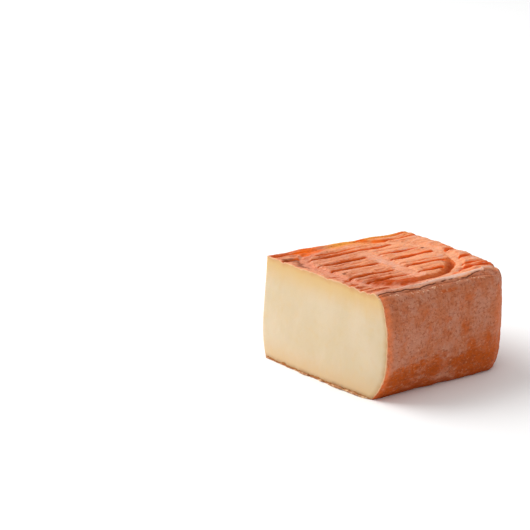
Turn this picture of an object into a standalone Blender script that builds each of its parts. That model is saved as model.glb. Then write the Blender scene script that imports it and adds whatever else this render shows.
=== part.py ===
"""A quarter of a square washed-rind cheese.

Two knife cuts meet at the middle of the cheese and leave smooth, slightly slumped faces. The other two
sides are rind that bulges between a sharp rim and a rounded foot, and they meet in one round corner.
The top carries the lines of the drying rack, interrupted by a plain pressed frame and its crossbar.

Plan coordinates: the knife corner is at zero, +X runs along the front cut and +Y along the other cut.
The finished piece is then moved, so that the middle of its footprint is the origin.
"""

import math

import bmesh
import bpy
from mathutils import Vector, noise

# Corners of the top in plan, with the height of the top there
KNIFE_CORNER = Vector((-0.0010, 0.0010, 0.0554))
FRONT_CORNER = Vector((0.0875, 0.0, 0.0548))
ROUND_CORNER = Vector((0.0880, 0.0863, 0.0542))
BACK_CORNER = Vector((0.0050, 0.0925, 0.0546))
FAR_BOW = 0.0026
ROUND_CORNER_RADIUS = 0.014
EDGE_DRIFT = 0.0009
EDGE_DRIFT_SPAN = 0.022

# Rind sides: how far they swell past the rim, at the knife cuts and at the round corner
RIGHT_BULGE = 0.0075
FAR_BULGE = 0.0055
CORNER_BULGE = 0.0030
WIDEST_HEIGHT = 0.031
SIDE_UNEVEN = 0.0008
SIDE_UNEVEN_SPAN = 0.021

# Foot of the rind sides: how far it is drawn in from the rim. The swelling is squarer above its widest
# height, squarer still at the round corner, and turns in late below
RIGHT_INSET = 0.0040
FAR_INSET = 0.0040
CORNER_INSET = 0.0030
SQUARE_ABOVE = 2.0
SQUARE_CORNER = 3.6
FOOT_POWER = 3.2

# Cut faces: how far the soft paste has slumped outwards, and the share of it left at the foot
LEFT_SLUMP = 0.0038
LEFT_SLUMP_FOOT = 0.30
FRONT_SLUMP = 0.0022
FRONT_SLUMP_FOOT = 0.85

# Rim of the top, with a raised lip and a crease along the right side
RIM_RADIUS = 0.0030
RIM_DROP = 0.0013
FAR_RIM_RADIUS = 0.0060
FAR_RIM_DROP = 0.0016
LIP_HEIGHT = 0.0008
LIP_INSET = 0.0032
LIP_WIDTH = 0.0028
CREASE_INSET = 0.0007
CREASE_DEPTH = 0.0005
CREASE_WIDTH = 0.0007
CORNER_DROP = 0.0030
CORNER_DROP_REACH = 0.020
TOP_UNEVEN = 0.0005
TOP_UNEVEN_SPAN = 0.017

# Pressed frame, a shallow band, with a trench inside its far right, and a crossbar. Distances in plan
# along the two cuts, and directions from the middle of the frame in radians
TOP_WIDTH = 0.0880
TOP_LENGTH = 0.0895
FRAME_CENTRE = (0.0430, 0.0425)
FRAME_HALF = (0.0378, 0.0365)
FRAME_CORNER_RADII = (0.0270, 0.0355)
FRAME_CORNER_FADE = 0.020
BAND_WIDTH = 0.0060
BAND_DEPTH = 0.0010
WALL_WIDTH = 0.0018
TRENCH_TURN = 0.48
TRENCH_REACH = 0.86
TRENCH_FADE = 0.36
TRENCH_OUTER = 0.0017
TRENCH_INNER = 0.0063
TRENCH_SLOPE = 0.0070
TRENCH_DEPTH = 0.0028
BAR_START = 0.0200
BAR_LEAN = 0.05
BAR_WIDTH = 0.0080
BAR_DEPTH = 0.0006

# Rack lines: distance from the left cut, half width, and depth of the four stretches that the frame
# and the crossbar leave: before the frame, inside before the bar, inside after it, after the frame
RACK_LINES = (
    (0.0024, 0.0016, (0.0000, 0.0000, 0.0000, 0.0016)),
    (0.0045, 0.0026, (0.0010, 0.0006, 0.0006, 0.0000)),
    (0.0098, 0.0020, (0.0000, 0.0000, 0.0000, 0.0020)),
    (0.0134, 0.0022, (0.0018, 0.0007, 0.0005, 0.0000)),
    (0.0184, 0.0023, (0.0000, 0.0023, 0.0015, 0.0000)),
    (0.0304, 0.0021, (0.0000, 0.0022, 0.0011, 0.0000)),
    (0.0412, 0.0025, (0.0000, 0.0029, 0.0023, 0.0000)),
    (0.0424, 0.0022, (0.0000, 0.0000, 0.0000, 0.0020)),
    (0.0490, 0.0022, (0.0011, 0.0000, 0.0000, 0.0000)),
    (0.0556, 0.0024, (0.0000, 0.0026, 0.0025, 0.0000)),
    (0.0570, 0.0024, (0.0000, 0.0000, 0.0000, 0.0026)),
    (0.0662, 0.0022, (0.0012, 0.0024, 0.0017, 0.0000)),
    (0.0690, 0.0021, (0.0000, 0.0000, 0.0000, 0.0019)),
    (0.0748, 0.0023, (0.0013, 0.0000, 0.0000, 0.0028)),
)
LINE_FADE = 0.0034
GENTLE_FLANK = 1.5
STEEP_FLANK = 0.6

# Mesh density
COLUMN_GAP = 0.0023
ROW_GAP = 0.0021
LEVELS_ABOVE = 6
LEVELS_BELOW = 7

RIND_COLOUR = (0.62, 0.22, 0.11, 1.0)
RIND_ROUGHNESS = 0.75


def mix(low, high, share):
    return low + (high - low) * share


def smooth_step(value):
    value = min(max(value, 0.0), 1.0)
    return value * value * (3.0 - 2.0 * value)


def bow(share):
    """An arch over 0 to 1, as high as 1 in its middle."""
    return 4.0 * max(share - share * share, 0.0)


def wall(past_edge, width):
    """1 inside an edge, 0 outside it, with a sloping wall of that width between."""
    return smooth_step(0.5 - past_edge / width)


def ridge(aside, half_width):
    """1 in the middle of a narrow strip, falling smoothly to 0 at its sides."""
    return smooth_step(1.0 - abs(aside) / half_width)


def uneven(point, span):
    """A slow random height from -1 to 1 whose bumps are about span across."""
    return noise.noise(point / span)


def frame_distance(x, y):
    """Signed distance from the middle line of the pressed frame, a rectangle with round corners."""
    dx, dy = x - FRAME_CENTRE[0], y - FRAME_CENTRE[1]
    radius = mix(*FRAME_CORNER_RADII, smooth_step(dy / FRAME_CORNER_FADE + 0.5))
    across = abs(dx) - FRAME_HALF[0] + radius
    along = abs(dy) - FRAME_HALF[1] + radius
    outside = math.hypot(max(across, 0.0), max(along, 0.0))
    return outside + min(max(across, along), 0.0) - radius


def trench_share(x, y, distance):
    """1 on the floor of the trench along the far right of the frame, with a long slope on its inner side."""
    turn = math.atan2(y - FRAME_CENTRE[1], x - FRAME_CENTRE[0])
    along = smooth_step((TRENCH_REACH - abs(turn - TRENCH_TURN)) / TRENCH_FADE)
    return along * wall(distance + TRENCH_OUTER, WALL_WIDTH) * wall(-distance - TRENCH_INNER, TRENCH_SLOPE)


def rack_lines(x, y, inside):
    """Depth of the rack lines at a place, before the frame flattens them."""
    after_bar = smooth_step((y - FRAME_CENTRE[1]) / BAR_WIDTH + 0.5)
    deepest = 0.0
    for line_x, half_width, depths in RACK_LINES:
        near = mix(depths[0], depths[1], inside)
        far = mix(depths[3], depths[2], inside)
        flank = GENTLE_FLANK if x < line_x else STEEP_FLANK
        aside = abs(x - line_x) / (half_width * flank)
        deepest = max(deepest, mix(near, far, after_bar) * max(1.0 - aside, 0.0))
    return deepest


def relief(x, y):
    """Height of the pressed pattern, at distances along the two cuts."""
    distance = frame_distance(x, y)
    inside = wall(distance, WALL_WIDTH)
    band = wall(abs(distance) - BAND_WIDTH / 2, WALL_WIDTH)
    trench = trench_share(x, y, distance)
    beside_bar = abs(y - FRAME_CENTRE[1] + BAR_LEAN * (x - FRAME_CENTRE[0])) - BAR_WIDTH / 2
    past_start = inside * smooth_step((x - BAR_START) / WALL_WIDTH)
    bar = past_start * wall(beside_bar, WALL_WIDTH)
    faded = max(wall(abs(distance) - BAND_WIDTH / 2, LINE_FADE), past_start * wall(beside_bar, LINE_FADE))
    faded = max(faded, smooth_step(2.5 * trench))
    pressed = max(band * BAND_DEPTH, trench * TRENCH_DEPTH, bar * BAR_DEPTH)
    return -pressed - rack_lines(x, y, inside) * (1.0 - faded)


def rounded_edge(distance, radius, drop):
    """How far a rim has fallen at a distance from its edge, as a quarter of an ellipse."""
    reach = 1.0 - min(distance / radius, 1.0)
    return drop * (1.0 - math.sqrt(1.0 - reach * reach))


def rim(x, y):
    """Fall of the top towards the two rind sides, with the lip and the crease of the right one."""
    from_right = TOP_WIDTH - x
    from_far = TOP_LENGTH - y
    distance = min(from_right, from_far)
    share = smooth_step((from_far - from_right) / ROUND_CORNER_RADIUS + 0.5)
    fall = rounded_edge(distance, mix(FAR_RIM_RADIUS, RIM_RADIUS, share), mix(FAR_RIM_DROP, RIM_DROP, share))
    lip = LIP_HEIGHT * ridge(distance - LIP_INSET, LIP_WIDTH)
    crease = CREASE_DEPTH * ridge(distance - CREASE_INSET, CREASE_WIDTH)
    corner = smooth_step(1.0 - math.hypot(from_right, from_far) / CORNER_DROP_REACH)
    return share * (lip - crease) - fall - CORNER_DROP * corner


def top_height(s, t):
    """Height of the top, where s and t run from 0 to 1 along the front cut and the left cut."""
    near = mix(KNIFE_CORNER.z, FRONT_CORNER.z, s)
    far = mix(BACK_CORNER.z, ROUND_CORNER.z, s)
    x, y = s * TOP_WIDTH, t * TOP_LENGTH
    waves = TOP_UNEVEN * uneven(Vector((x, y, 0.0)), TOP_UNEVEN_SPAN)
    return mix(near, far, t) + relief(x, y) + rim(x, y) + waves


def plan(s, t, right_out, far_out):
    """Place in plan of a point of the top, once the two rind sides have moved outwards."""
    left = mix(KNIFE_CORNER.x, BACK_CORNER.x, t)
    right = mix(FRONT_CORNER.x, ROUND_CORNER.x, t) + right_out
    near = mix(KNIFE_CORNER.y, FRONT_CORNER.y, s)
    far = mix(BACK_CORNER.y, ROUND_CORNER.y, s) + FAR_BOW * bow(s) + far_out
    drift = EDGE_DRIFT * bow(s) * uneven(Vector((0.0, t * TOP_LENGTH, 0.0)), EDGE_DRIFT_SPAN)
    x, y = mix(left, right, s) + drift, mix(near, far, t)
    radius = ROUND_CORNER_RADIUS + min(right_out, far_out)
    centre_x = ROUND_CORNER.x + right_out - radius
    centre_y = ROUND_CORNER.y + far_out - radius
    dx, dy = x - centre_x, y - centre_y
    if dx > 0.0 and dy > 0.0:
        pull = max(dx, dy) / math.hypot(dx, dy)
        x, y = centre_x + dx * pull, centre_y + dy * pull
    return x, y


def slump(depth, foot_share):
    """Shape of a slumped cut face, from 0 at the rim, depth 0, through 1 in its lower third."""
    return (1.0 - foot_share) * 1.5 * depth * (1.0 - depth**6) + foot_share * smooth_step(1.4 * depth)


def skin_point(s, t, angle):
    """A point of the sides: s and t on the edge of the plan, and the angle from the rim to the foot."""
    corner = s * t
    square = mix(SQUARE_ABOVE, SQUARE_CORNER, corner)
    out = max(math.cos(angle), 0.0) ** (2.0 / square)
    up = abs(math.sin(angle)) ** (2.0 / square)
    rim_height = top_height(s, t)
    z = mix(WIDEST_HEIGHT, rim_height if angle > 0.0 else 0.0, up)
    below = 1.0 if angle < 0.0 else 0.0
    if angle < 0.0:
        out = mix(1.0 - up**FOOT_POWER, out, corner)
    right_inset = mix(RIGHT_INSET, CORNER_INSET, math.sqrt(t)) * below
    far_inset = mix(FAR_INSET, CORNER_INSET, math.sqrt(s)) * below
    bumps = SIDE_UNEVEN * out * uneven(Vector((s, t, z / 0.09)), SIDE_UNEVEN_SPAN / 0.09)
    right_out = mix(-right_inset, mix(RIGHT_BULGE, CORNER_BULGE, t), out) + bumps
    far_out = mix(-far_inset, mix(FAR_BULGE, CORNER_BULGE, s), out) + bumps
    x, y = plan(s, t, right_out, far_out)
    depth = 1.0 - z / rim_height
    x -= LEFT_SLUMP * slump(depth, LEFT_SLUMP_FOOT) * (1.0 - s)
    y -= FRONT_SLUMP * slump(depth, FRONT_SLUMP_FOOT) * (1.0 - t) * math.sqrt(bow(s))
    return Vector((x, y, z))


def lines_between(marks, length, gap):
    """Grid lines from 0 to 1 through all the marks, and evenly spaced between those further apart than gap."""
    places = sorted({0.0, length, *marks})
    lines = [0.0]
    for low, high in zip(places, places[1:]):
        steps = max(1, round((high - low) / gap))
        lines += [mix(low, high, step / steps) / length for step in range(1, steps + 1)]
    return lines


def grid_columns():
    """Columns along the front cut, on each rack line's middle and edges and on the rim's lip and crease."""
    flanks = (-GENTLE_FLANK, 0.0, STEEP_FLANK)
    marks = [x + side * half_width for x, half_width, _ in RACK_LINES for side in flanks]
    marks += [TOP_WIDTH - CREASE_INSET, TOP_WIDTH - CREASE_INSET - CREASE_WIDTH]
    marks += [TOP_WIDTH - LIP_INSET, TOP_WIDTH - LIP_INSET - LIP_WIDTH]
    return lines_between(marks, TOP_WIDTH, COLUMN_GAP)


def grid_rows():
    """Rows along the left cut, on the walls of the frame and of the crossbar."""
    middles = (
        (FRAME_CENTRE[1] - FRAME_HALF[1], BAND_WIDTH),
        (FRAME_CENTRE[1], BAR_WIDTH),
        (FRAME_CENTRE[1] + FRAME_HALF[1], BAND_WIDTH),
    )
    marks = [
        middle + side * (width + foot * WALL_WIDTH) / 2
        for middle, width in middles
        for side in (-1, 1)
        for foot in (-1, 1)
    ]
    marks += [TOP_LENGTH - FAR_RIM_RADIUS / 4]
    return lines_between([mark for mark in marks if mark > 0.0], TOP_LENGTH, ROW_GAP)


def side_angles():
    """Levels of the sides, from the rim at a right angle down to the foot."""
    above = [math.pi / 2 * (1.0 - step / LEVELS_ABOVE) for step in range(LEVELS_ABOVE)]
    below = [-math.pi / 2 * step / LEVELS_BELOW for step in range(LEVELS_BELOW + 1)]
    return above + below


def add_sheet(mesh, rows):
    """Faces between rows of points."""
    made = [[mesh.verts.new(point) for point in row] for row in rows]
    for low, high in zip(made, made[1:]):
        for left in range(len(low) - 1):
            mesh.faces.new((low[left], low[left + 1], high[left + 1], high[left]))


def add_foot(mesh, edge):
    """The flat face that the piece rests on."""
    mesh.faces.new([mesh.verts.new(point) for point in edge])


def quarter_mesh():
    """The whole piece as one closed mesh: its top, four sides and foot."""
    columns, rows, angles = grid_columns(), grid_rows(), side_angles()
    edge = [(s, 0.0) for s in columns] + [(1.0, t) for t in rows[1:]]
    edge += [(s, 1.0) for s in reversed(columns[:-1])] + [(0.0, t) for t in reversed(rows[:-1])]
    mesh = bmesh.new()
    add_sheet(mesh, [[Vector((*plan(s, t, 0.0, 0.0), top_height(s, t))) for s in columns] for t in rows])
    add_sheet(mesh, [[skin_point(s, t, angle) for s, t in edge] for angle in angles])
    add_foot(mesh, [skin_point(s, t, angles[-1]) for s, t in edge[:-1]])
    bmesh.ops.remove_doubles(mesh, verts=mesh.verts, dist=1e-6)
    bmesh.ops.recalc_face_normals(mesh, faces=mesh.faces)
    return mesh


def move_to_origin(mesh):
    """Puts the middle of the footprint at the origin and the foot at height zero."""
    low = Vector([min(vert.co[axis] for vert in mesh.verts) for axis in range(3)])
    high = Vector([max(vert.co[axis] for vert in mesh.verts) for axis in range(3)])
    middle = (low + high) / 2
    bmesh.ops.translate(mesh, verts=mesh.verts, vec=(-middle.x, -middle.y, -low.z))


def rind_material():
    material = bpy.data.materials.new("washed_rind")
    material.use_nodes = True
    shader = material.node_tree.nodes["Principled BSDF"]
    shader.inputs["Base Color"].default_value = RIND_COLOUR
    shader.inputs["Roughness"].default_value = RIND_ROUGHNESS
    shader.inputs["Metallic"].default_value = 0.0
    return material


def make_cheese():
    mesh = quarter_mesh()
    move_to_origin(mesh)
    data = bpy.data.meshes.new("cheese_quarter")
    mesh.to_mesh(data)
    mesh.free()
    data.materials.append(rind_material())
    cheese = bpy.data.objects.new("cheese_quarter", data)
    bpy.context.scene.collection.objects.link(cheese)
    return cheese


for old in list(bpy.data.objects):
    bpy.data.objects.remove(old)
make_cheese()
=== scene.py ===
"""Looks of a quarter of a square washed-rind cheese.

Two pieces stand for the solid: the rind with its pressed relief, and the soft paste that the two knife cuts
show. A third piece holds loose crumbs, under the rim and at the foot.

Shapes are worked out in plan coordinates: the knife corner is at zero, +X runs along the front cut and +Y
along the other cut. The pieces are then moved by the middle of the footprint into the frame of the part.
"""

import math
import random
from functools import lru_cache, partial

import bmesh
import bpy
from mathutils import Matrix, Vector, noise


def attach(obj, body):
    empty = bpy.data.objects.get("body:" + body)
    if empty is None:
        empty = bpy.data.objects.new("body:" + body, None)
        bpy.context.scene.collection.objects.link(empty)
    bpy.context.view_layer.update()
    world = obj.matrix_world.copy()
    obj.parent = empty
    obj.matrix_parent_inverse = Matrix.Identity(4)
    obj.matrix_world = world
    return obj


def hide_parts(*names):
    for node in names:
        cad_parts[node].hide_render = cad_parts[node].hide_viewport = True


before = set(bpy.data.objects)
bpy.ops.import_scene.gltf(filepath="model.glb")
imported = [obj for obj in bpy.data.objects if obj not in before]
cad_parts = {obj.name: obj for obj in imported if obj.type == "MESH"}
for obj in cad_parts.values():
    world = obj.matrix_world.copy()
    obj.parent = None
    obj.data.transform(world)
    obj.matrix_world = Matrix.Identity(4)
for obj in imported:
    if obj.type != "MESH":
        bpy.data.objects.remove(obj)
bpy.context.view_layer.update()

NODE = "cheese_quarter"
BODY = "root"
FOOTPRINT_MIDDLE = Vector((0.045307, 0.048180, 0.0))

# Corners of the top in plan, with the height of the top there, and how its edges bow and drift. Waves are
# rows of height, size along X and along Y, and seed
KNIFE_CORNER = Vector((-0.0010, 0.0010, 0.0554))
FRONT_CORNER = Vector((0.0875, 0.0, 0.0548))
ROUND_CORNER = Vector((0.0880, 0.0863, 0.0542))
BACK_CORNER = Vector((0.0050, 0.0925, 0.0546))
FAR_BOW = 0.0026
ROUND_CORNER_RADIUS = 0.014
EDGE_DRIFT = ((0.0009, 1.0, 0.022, 0.0),)

# Rind sides: how far they swell past the rim, at the knife cuts and at the round corner
RIGHT_BULGE = 0.0075
FAR_BULGE = 0.0055
CORNER_BULGE = 0.0030
WIDEST_HEIGHT = 0.031
SIDE_UNEVEN = 0.0008
SIDE_UNEVEN_SPAN = 0.021
SIDE_BUMPS_RISE = 4.0
# About the width and the length of the block, for noise over shares of them
BLOCK_SPAN = 0.09

# Foot of the rind sides: how far it is drawn in from the rim. The swelling is squarer above its widest
# height, squarer still at the round corner, and turns in late below
RIGHT_INSET = 0.0040
FAR_INSET = 0.0040
CORNER_INSET = 0.0030
SQUARE_ABOVE = 2.0
SQUARE_CORNER = 3.6
FOOT_POWER = 3.2

# Cut faces: how far the soft paste has slumped outwards, the share of it left at the foot, and the curve
LEFT_SLUMP = 0.0038
LEFT_SLUMP_FOOT = 0.30
FRONT_SLUMP = 0.0022
FRONT_SLUMP_FOOT = 0.85
SLUMP_SCALE = 1.5
SLUMP_POWER = 6
SLUMP_FOOT_RISE = 1.4

# Rim of the top, with a raised lip and a crease along the right side, which move inwards towards the
# round corner. Their waves take Y before X. The marks that colour them are a little off the forms
RIM_RADIUS = 0.0030
RIM_DROP = 0.0013
FAR_RIM_RADIUS = 0.0060
FAR_RIM_DROP = 0.0016
LIP_HEIGHT = 0.0008
LIP_INSET = 0.0032
LIP_WIDTH = 0.0028
LIP_WAVES = ((0.35, 0.006, 0.006, 4.0),)
LIP_MARK_SHIFT = 0.0006
LIP_MARK_WIDTHS = (0.85, 0.65)
LIP_END = 0.0030
CREASE_END = 0.0100
CREASE_INSET = 0.0010
CORNER_INWARDS = 0.0064
CORNER_START = 0.060
CORNER_REACH = 0.034
CORNER_MARGIN = 0.2
CREASE_DEPTH = 0.0005
CREASE_WIDTH = 0.0007
CREASE_MARK = 0.0006
CREASE_WAVES = ((0.0011, 0.011, 1.0, 5.0), (0.00033, 0.003, 1.0, 6.0))
SIDE_EDGE = 0.0006
CORNER_DROP = 0.0030
CORNER_DROP_REACH = 0.020

# Pressed frame, a shallow band, with a trench inside its far right, and a crossbar. Distances in plan
# along the two cuts, and directions from the middle of the frame in radians
TOP_WIDTH = 0.0880
TOP_LENGTH = 0.0895
FRAME_CENTRE = (0.0430, 0.0425)
FRAME_HALF = (0.0378, 0.0365)
FRAME_CORNER_RADII = (0.0270, 0.0355)
FRAME_CORNER_FADE = 0.020
BAND_WIDTH = 0.0060
BAND_DEPTH = 0.0010
WALL_WIDTH = 0.0018
TRENCH_TURN = 0.48
TRENCH_REACH = 0.86
TRENCH_FADE = 0.36
TRENCH_OUTER = 0.0024
TRENCH_INNER = 0.0063
TRENCH_SLOPE = 0.0070
TRENCH_DEPTH = 0.0028
TRENCH_CLEARS = 2.5
BAR_START = 0.0200
BAR_LEAN = 0.05
BAR_WIDTH = 0.0080
BAR_DEPTH = 0.0006

def tenths(rows):
    """Rows of lengths in metres, from rows in tenths of a millimetre."""
    return tuple(tuple(length / 10000 for length in row) for row in rows)


# Rack lines: distance from the left cut, half width, and depth of the four stretches that the frame
# and the crossbar leave: before the frame, inside before the bar, inside after it, after the frame
RACK_LINES = tenths((
    (24, 16, 0, 0, 0, 16),
    (45, 26, 10, 6, 6, 0),
    (98, 20, 0, 0, 0, 20),
    (134, 22, 18, 12, 5, 0),
    (184, 23, 0, 23, 15, 0),
    (304, 21, 0, 22, 22, 0),
    (412, 25, 0, 29, 23, 0),
    (424, 22, 0, 0, 0, 20),
    (490, 22, 11, 0, 0, 0),
    (556, 24, 0, 26, 25, 0),
    (570, 24, 0, 0, 0, 26),
    (662, 22, 12, 24, 17, 0),
    (690, 21, 0, 0, 0, 19),
    (748, 23, 13, 0, 0, 28),
))

# Lines too faint for the solid, in the same form
FAINT_LINES = tenths((
    (146, 10, 8, 4, 4, 6),
    (240, 12, 4, 6, 7, 5),
    (350, 11, 4, 6, 5, 6),
    (505, 10, 5, 4, 6, 6),
    (612, 12, 5, 7, 5, 8),
    (715, 11, 7, 5, 4, 8),
    (800, 12, 8, 5, 4, 6),
))

# How the lines end at the frame and the crossbar, change along their way and slope down from their sides
CLEAR_LINE = 0.0023
LINE_FADE = 0.0046
LINE_END = 0.0020
LINE_END_SPAN = 0.006
LINE_END_SEEDS = (3.0, 8.0)
LINE_TAPER = 0.6
LINE_TAPER_REACH = 0.0080
LINE_CHANGE = 0.45
LINE_CHANGE_SPAN = 0.013
LINE_SEED_SCALE = 900.0
CROWN = 0.22
CROWN_REACH = 3.0
GENTLE_FLANK = 1.5
STEEP_FLANK = 0.6

# Mesh density, with some more columns at the right rim, and the angles in degrees that show as sharp
TOP_GAP = 0.00046
RIM_COLUMNS = 12
RIND_LEVELS = 104
CUT_LEVELS = 64
MERGE_GAP = 2e-6
RIND_SHARP = 60.0
PASTE_SHARP = 50.0

# Fine relief of the rind: waves of the top, of which the small ones are fainter where it was pressed, and
# bumps of the sides, in rows of height, size and seed, which fade out at the flat foot
TOP_SWELLS = ((0.00050, 0.0170, 0.0170, 0.0), (0.00040, 0.0060, 0.0120, 0.0))
TOP_BUMPS = (
    (0.00030, 0.0022, 0.0150, 5.0),
    (0.00018, 0.0012, 0.0060, 10.0),
    (0.00010, 0.0006, 0.0010, 15.0),
)
SIDE_BUMPS = (
    (0.00050, 0.0085, 0.0),
    (0.00030, 0.0032, 5.0),
    (0.00014, 0.0013, 10.0),
)
PRESSED_CALM = 0.55
FOOT_CALM = 0.004

# How far lines and walls stray, slowly and raggedly, how the knife has flattened them, and how far the
# outline of the foot strays
LINE_ASIDE = ((0.0005, 0.011, 0.016, 7.0), (0.00024, 0.0026, 0.0040, 3.0))
LINE_AHEAD = ((0.0008, 0.011, 0.016, 11.0), (0.000336, 0.0026, 0.0040, 11.0))
KNIFE_CALM = 0.0024
KNIFE_FLAT = 0.45
FOOT_WAVES = ((0.0016, 0.009, 0.009, 0.0),)

# Marks on the top: place along the two cuts and half sizes. Stains are bright orange where the wash
# collected, rusts brown or, at the far end, orange, shades painted shade in dark hollows, and blooms pale
# crests, partly painted highlights
STAINS = tenths((
    (40, 225, 52, 125), (70, 165, 30, 50), (80, 630, 20, 34),
    (28, 572, 30, 30),
))
RUSTS = tenths((
    (690, 195, 85, 64), (755, 290, 46, 95), (25, 50, 26, 74),
    (752, 745, 18, 95), (768, 640, 14, 50), (790, 605, 14, 26),
    (410, 700, 10, 60), (560, 826, 12, 30), (684, 800, 10, 34),
    (336, 862, 9, 26), (812, 150, 6, 110), (786, 105, 6, 85),
    (480, 44, 14, 22), (565, 58, 22, 28), (642, 52, 15, 26),
    (706, 34, 11, 30),
))
SHADES = tenths((
    (118, 40, 30, 46), (170, 50, 52, 34), (225, 34, 70, 26),
    (748, 50, 9, 60), (485, 110, 14, 14), (336, 726, 9, 12),
    (615, 505, 9, 12),
))
BLOOMS_AND_HIGHLIGHTS = tenths((
    (300, 640, 32, 90), (510, 722, 28, 24), (705, 445, 22, 22),
    (430, 418, 100, 26), (420, 560, 18, 60), (620, 795, 16, 24),
    (505, 850, 32, 22), (632, 842, 28, 26), (722, 838, 14, 30),
))

# Rusty patches of the right side: place along it and height, and half sizes
PATCHES = tenths((
    (415, 360, 26, 21), (545, 300, 36, 58), (525, 143, 22, 17),
    (600, 200, 40, 30), (730, 150, 100, 85), (205, 160, 170, 19),
    (80, 30, 120, 22), (800, 440, 24, 40), (860, 400, 30, 110),
    (440, 505, 60, 12),
))

# Soft oval marks: how strong they are in the middle, how fast they fade, and their ragged outline
SPOT_MIDDLE = 1.25
SPOT_FALL = 0.75
SPOT_REACH = 1.9
SPOT_WAVES = ((0.30, 0.0016, 0.0050, 2.0), (0.24, 0.006, 0.006, 0.02 / 0.006))

# Reach of the orange tone beside the knife cuts, and of painted rim light in that orange on the round
# corner, below its top
NEAR_CUT_REACH = 0.0040
CORNER_RIM_LIGHT = 0.6
CORNER_RIM_LIGHT_REACH = 0.016
CORNER_RIM_LIGHT_TOP = 0.049
CORNER_RIM_LIGHT_FADE = 0.008

# Angle on the sides, in degrees, up to which the marks of the top run down, and over which they fade
RIM_MARK_ANGLE = 74.0
RIM_MARK_FADE = 16.0

# Fine relief of the cut paste, in rows as for the rind's sides
PASTE_BUMPS = (
    (0.00022, 0.0150, 0.0),
    (0.00006, 0.0040, 0.0),
    (0.00003, 0.0012, 0.0),
)
PASTE_CALM = 0.003

# Masks of the cut paste: how far each reaches from the rind above, aside or below
PASTE_MASKS = {"above": 0.017, "rim": 0.0036, "aside": 0.0042, "below": 0.015, "foot": 0.0034}

# Section of the rind at the knife cuts: a ragged band, wider near the foot and rounded at its outer edge.
# Its inner edge is sunk in the paste
SECTION_WIDTH = 0.00060
SECTION_RAGGED = ((0.00036, 0.0016, 0.0), (0.000288, 0.0045, 0.0))
SECTION_LEAST = 0.0002
SECTION_PROUD = 0.00018
SECTION_PROUD_CHANGE = 0.8
SECTION_PROUD_SPAN = 0.0012
SECTION_PROUD_SEED = Vector((9.0, 0.0, 0.0))
SECTION_LOW = 0.004
SECTION_LOW_WIDER = 0.8
SECTION_EDGE = 0.00018
SECTION_INNER_PROUD = 0.8
SECTION_SUNK_WIDTH = 0.00025
SECTION_SUNK = -0.0008

# Crumbs: the seed of their random draws, and the spread of their shapes
CRUMB_SEED = 11
CRUMB_WIDTHS = (0.8, 1.3)
CRUMB_HEIGHTS = (0.5, 0.9)
CRUMB_LUMPS = 0.5
CRUMB_PATTERNS = 50

# Crumbs along the crease, in groups of a middle and a number, and flat flakes at the foot of the front cut,
# small ones at random and big ones of a place and a size
RIM_CRUMB_GROUPS = ((0.12, 5), (0.22, 4), (0.33, 9), (0.43, 10), (0.60, 5), (0.72, 7))
RIM_CRUMB_SPREAD = 0.030
RIM_CRUMB_ENDS = (0.02, 0.9)
RIM_CRUMB_ANGLES = (74.0, 88.0)
RIM_CRUMB_SIZES = (0.00014, 0.00044)
RIM_CRUMB_LENGTHS = (0.8, 2.2)
FLAKE_COUNT = 110
FLAKE_SIZES = (0.00022, 0.00058)
FLAKE_LENGTHS = (1.8, 4.6)
FLAKE_ENDS = (0.97, 0.03)
FLAKE_GATHER = 1.5
FLAKE_PROUD = (-0.0001, 0.0003)
FLAKE_LIFT = (0.1, 0.9)
FLAKE_FLAT = (0.7, 0.55)
BIG_FLAKES = tenths((
    (355, 11), (372, 8), (500, 9), (600, 11), (622, 15),
    (645, 10), (740, 14), (755, 9), (815, 10),
))
BIG_FLAKE_PROUD = 0.45


def mix(low, high, share):
    return low + (high - low) * share


def smooth_step(value):
    value = min(max(value, 0.0), 1.0)
    return value * value * (3.0 - 2.0 * value)


def bow(share):
    """An arch over 0 to 1, as high as 1 in its middle."""
    return 4.0 * max(share - share * share, 0.0)


def wall(past_edge, width):
    """1 inside an edge, 0 outside it, with a sloping wall of that width between."""
    return smooth_step(0.5 - past_edge / width)


def ridge(aside, half_width):
    """1 in the middle of a narrow strip, falling smoothly to 0 at its sides."""
    return smooth_step(1.0 - abs(aside) / half_width)


def waves(x, y, rows):
    """The sum of noises at a place, from rows of height, size along x and along y, and seed."""
    return sum(
        height * noise.noise(Vector((x / size_x, y / size_y, seed))) for height, size_x, size_y, seed in rows
    )


def bumps(point, rows):
    """The sum of noises at a point, from rows of height, size and seed."""
    return sum(
        height * noise.noise(point / size + Vector((0.0, 0.0, seed))) for height, size, seed in rows
    )


def frame_distance(x, y):
    """Signed distance from the middle line of the pressed frame, a rectangle with round corners."""
    dx, dy = x - FRAME_CENTRE[0], y - FRAME_CENTRE[1]
    radius = mix(*FRAME_CORNER_RADII, smooth_step(dy / FRAME_CORNER_FADE + 0.5))
    across = abs(dx) - FRAME_HALF[0] + radius
    along = abs(dy) - FRAME_HALF[1] + radius
    outside = math.hypot(max(across, 0.0), max(along, 0.0))
    return outside + min(max(across, along), 0.0) - radius


def trench_share(x, y, distance):
    """1 on the floor of the trench along the far right of the frame, with a long slope on its inner side."""
    turn = math.atan2(y - FRAME_CENTRE[1], x - FRAME_CENTRE[0])
    along = smooth_step((TRENCH_REACH - abs(turn - TRENCH_TURN)) / TRENCH_FADE)
    return along * wall(distance + TRENCH_OUTER, WALL_WIDTH) * wall(-distance - TRENCH_INNER, TRENCH_SLOPE)


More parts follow.
